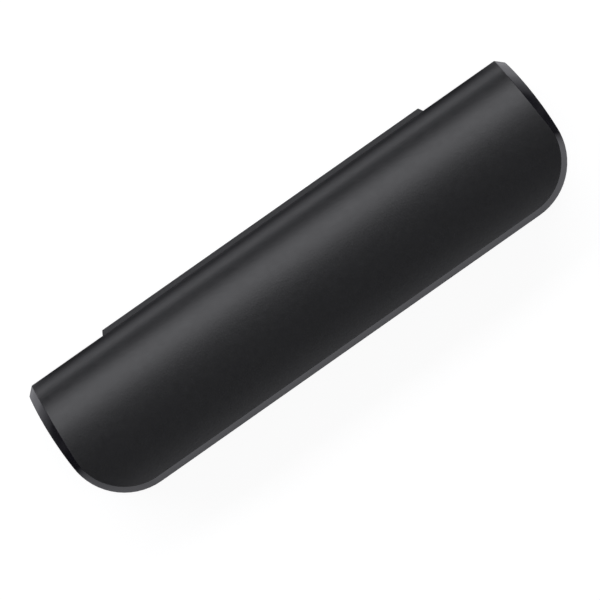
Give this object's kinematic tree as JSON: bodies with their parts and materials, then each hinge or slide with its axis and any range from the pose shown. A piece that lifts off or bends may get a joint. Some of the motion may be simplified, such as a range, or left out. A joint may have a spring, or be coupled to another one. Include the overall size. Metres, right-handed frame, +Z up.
{
  "type": "electric toothbrush travel case",
  "caption": "Hard hinged travel case for an electric toothbrush and brush heads, with a straight spine, rounded front corners and a bevelled rim.",
  "frame": {"origin": "middle of the footprint on the flat resting face", "axes": "+X along the case, +Y towards the hinged spine, +Z up out of the lid; the case is shut and lies on its back"},
  "size_m": [0.22, 0.0586, 0.0395],
  "materials": {
    "shell_plastic": "fine matte moulded black with a polished bevel",
    "insert_plastic": "fine moulded black",
    "hinge_plastic": "satin moulded black",
    "soft_pad": "soft moulded",
    "peg_plastic": "satin moulded",
    "screw_steel": "zinc plated",
    "pin_steel": "drawn wire",
    "magnet_nickel": "nickel plated"
  },
  "bodies": {
    "base": {"base_shell": "shell_plastic", "base_tray": "insert_plastic", "tray_screws": "screw_steel", "base_magnets": "magnet_nickel", "hinge_leaf": "hinge_plastic", "leaf_screws": "screw_steel", "cradle_pads": "soft_pad", "neck_pad": "soft_pad", "head_pegs": "peg_plastic"},
    "lid": {"lid_shell": "shell_plastic", "lid_liner": "insert_plastic", "liner_screws": "screw_steel", "lid_magnets": "magnet_nickel", "hinge_rail": "hinge_plastic", "rail_screws": "screw_steel", "hinge_pin": "pin_steel", "hinge_end_caps": "hinge_plastic", "saddle_pads": "soft_pad"}
  },
  "joints": [
    {"name": "lid_hinge", "type": "hinge", "parent": "base", "child": "lid", "pos_m": [0, 0.02751, 0.022], "axis": [-1, 0, 0], "range_deg": [0, 112]}
  ]
}
